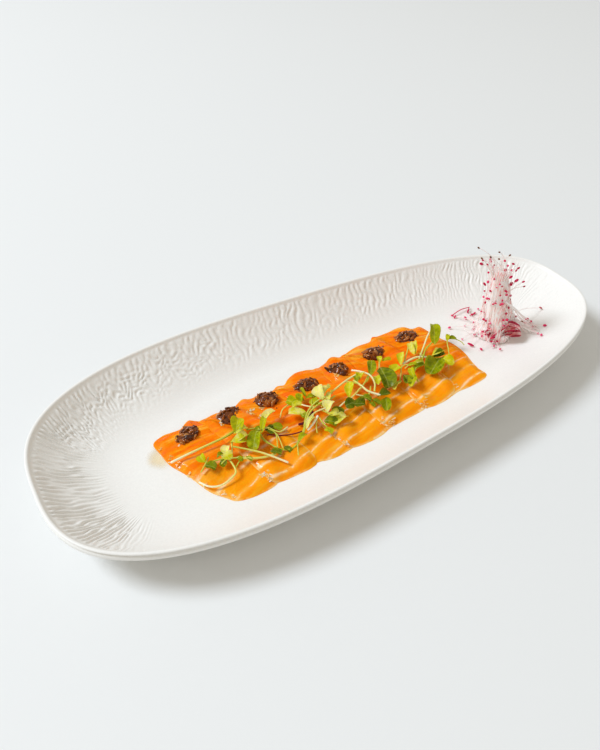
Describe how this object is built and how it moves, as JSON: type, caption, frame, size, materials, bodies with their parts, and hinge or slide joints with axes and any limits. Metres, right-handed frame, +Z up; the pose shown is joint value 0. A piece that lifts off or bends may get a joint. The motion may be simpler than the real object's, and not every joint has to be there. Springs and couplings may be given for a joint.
{
  "type": "salmon carpaccio",
  "caption": "Plated salmon carpaccio: thin overlapping slices on a deep white oval plate, with dark tapenade dabs, cress and a heap of pale sprouts.",
  "frame": {"origin": "middle of the foot ring's underside, on the table, below the middle of the whole object", "axes": "+X along the plate towards its narrow end with the sprout heap, +Y across it towards the dabs, +Z up"},
  "size_m": [0.3872, 0.1636, 0.075],
  "materials": {
    "plate": "white porcelain under a satin glaze, with fine relief on the wall",
    "salmon": "raw salmon, wet and slightly translucent, with pale fat lines",
    "tapenade": "chopped dark tapenade with oily glints",
    "cress": "fresh green leaves and pale stems",
    "sprouts": "fine translucent threads with crimson tips"
  },
  "bodies": {
    "root": {"plate": "plate", "salmon_slice_1": "salmon", "salmon_slice_2": "salmon", "salmon_slice_3": "salmon", "salmon_slice_4": "salmon", "salmon_slice_5": "salmon", "salmon_slice_6": "salmon", "salmon_slice_7": "salmon", "tapenade_dab_1": "tapenade", "tapenade_dab_2": "tapenade", "tapenade_dab_3": "tapenade", "tapenade_dab_4": "tapenade", "tapenade_dab_5": "tapenade", "tapenade_dab_6": "tapenade", "tapenade_dab_7": "tapenade", "cress_left": "cress", "cress_middle": "cress", "cress_right": "cress", "sprout_heap": "sprouts"}
  },
  "joints": []
}
